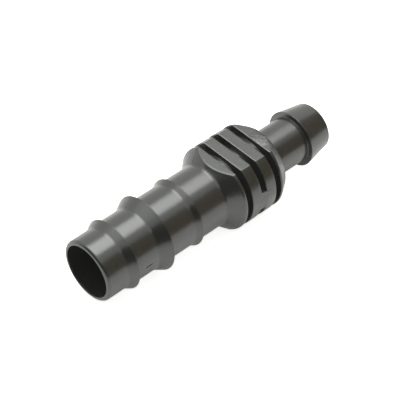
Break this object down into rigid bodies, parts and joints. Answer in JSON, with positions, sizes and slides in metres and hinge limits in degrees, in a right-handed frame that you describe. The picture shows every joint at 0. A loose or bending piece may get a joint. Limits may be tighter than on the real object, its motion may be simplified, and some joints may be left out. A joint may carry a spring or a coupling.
{
  "type": "hose barb reducer",
  "caption": "Straight barbed hose reducer in black plastic: a wide barbed tail and a narrower one on either side of a grooved finger grip with flats.",
  "frame": {"origin": "on the axis, midway between the wide mouth and the narrow mouth", "axes": "+X along the axis towards the narrow mouth; +Z square to the grip's flats, up; +Y to the side"},
  "size_m": [0.078, 0.0234, 0.0208],
  "materials": {
    "black_plastic": "black moulded plastic with a satin sheen"
  },
  "bodies": {
    "root": {"reducer_body": "black_plastic"}
  },
  "joints": []
}
